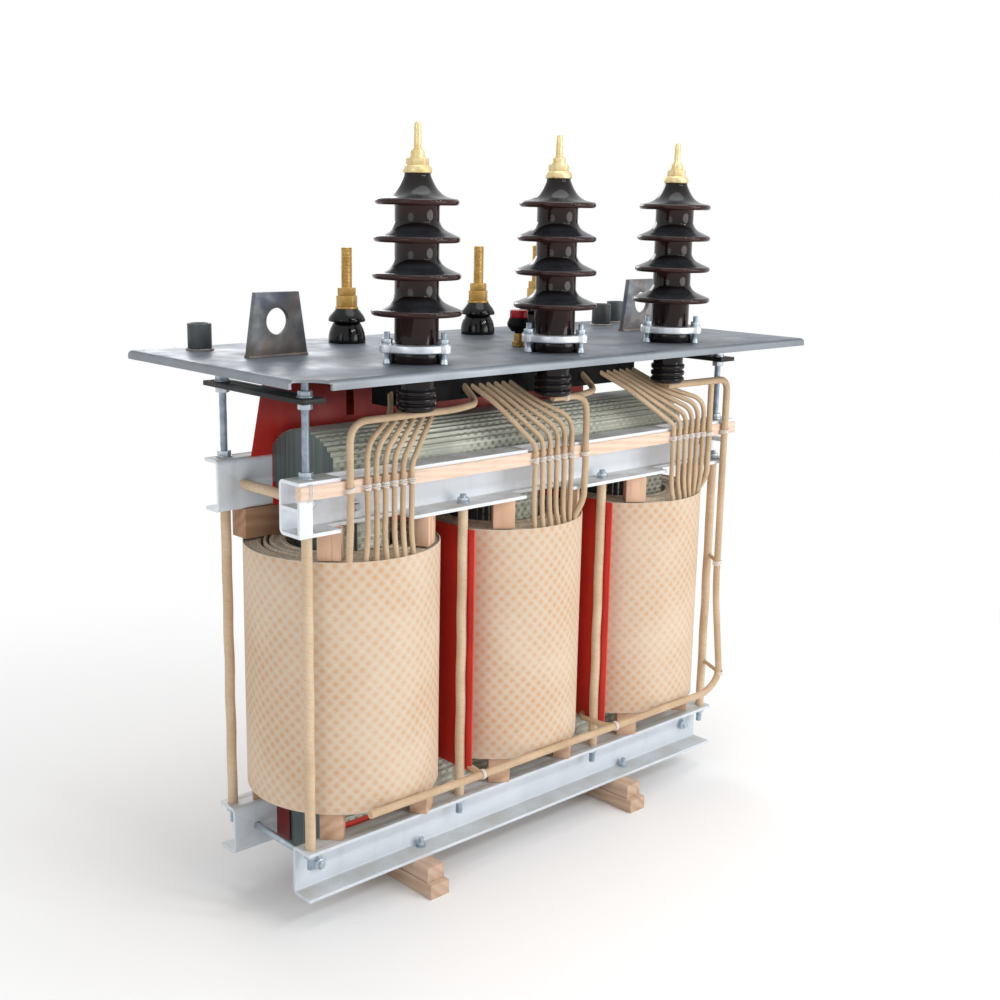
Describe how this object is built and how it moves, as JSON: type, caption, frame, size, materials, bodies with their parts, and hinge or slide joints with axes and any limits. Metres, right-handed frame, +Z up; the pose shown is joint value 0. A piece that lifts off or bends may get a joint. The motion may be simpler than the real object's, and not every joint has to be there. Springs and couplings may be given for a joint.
{
  "type": "power transformer",
  "caption": "Core and coils of a three-phase oil-immersed distribution transformer with its tank cover, bushings and leads, standing on wooden bearers.",
  "frame": {"origin": "centre of the part's bounding box, on the floor under the bearers", "axes": "+X along the row of windings to the end with two pipe stubs, -Y to the high-voltage side, +Z up"},
  "size_m": [1.224, 0.524, 1.322],
  "materials": {
    "core_steel": "laminated electrical steel under a grey-green varnish",
    "winding_paper": "kraft winding paper printed with an adhesive diamond pattern",
    "lead_paper": "wrapped kraft paper tape",
    "red_board": "red insulating board, smooth and slightly glossy",
    "clamp_paint": "pale grey-blue paint on folded steel",
    "block_wood": "oiled beech blocks",
    "strip_wood": "planed pale beech",
    "cover_steel": "bare mill steel with a dark oxide skin",
    "zinc": "zinc-plated steel",
    "brown_porcelain": "dark brown glazed porcelain",
    "black_porcelain": "black glazed porcelain",
    "brass": "bright brass",
    "black_moulding": "black moulded insulation",
    "red_plastic": "red moulded cap"
  },
  "bodies": {
    "root": {"core_limbs": "core_steel", "upper_yoke": "core_steel", "lower_yoke": "core_steel", "hv_winding_left": "winding_paper", "hv_winding_middle": "winding_paper", "hv_winding_right": "winding_paper", "lv_windings": "winding_paper", "tap_leads_left": "lead_paper", "tap_leads_middle": "lead_paper", "tap_leads_right": "lead_paper", "phase_leads": "lead_paper", "foot_lead": "lead_paper", "tie_rods_front": "lead_paper", "tie_rods_rear": "lead_paper", "upper_cross_rods": "lead_paper", "phase_barriers": "red_board", "yoke_sheets": "red_board", "lower_clamp_front": "clamp_paint", "lower_clamp_rear": "clamp_paint", "upper_clamp_front": "clamp_paint", "upper_clamp_rear": "clamp_paint", "top_blocks_front": "block_wood", "top_blocks_rear": "block_wood", "bottom_blocks_front": "block_wood", "bottom_blocks_rear": "block_wood", "bearers": "block_wood", "bearer_blocks": "block_wood", "lead_support_strip": "strip_wood", "cover_plate": "cover_steel", "lifting_lugs": "cover_steel", "cover_cross_bars": "cover_steel", "pipe_stubs": "cover_steel", "cover_studs": "zinc", "lower_cross_rods": "zinc", "hv_clamp_rings": "zinc", "hv_bushing_left": "brown_porcelain", "hv_bushing_middle": "brown_porcelain", "hv_bushing_right": "brown_porcelain", "lv_bushings": "black_porcelain", "hv_terminals": "brass", "lv_terminals": "brass", "lv_bars": "brass", "tap_changer": "black_moulding", "tap_changer_drive": "black_moulding", "tap_changer_cap": "red_plastic"}
  },
  "joints": []
}
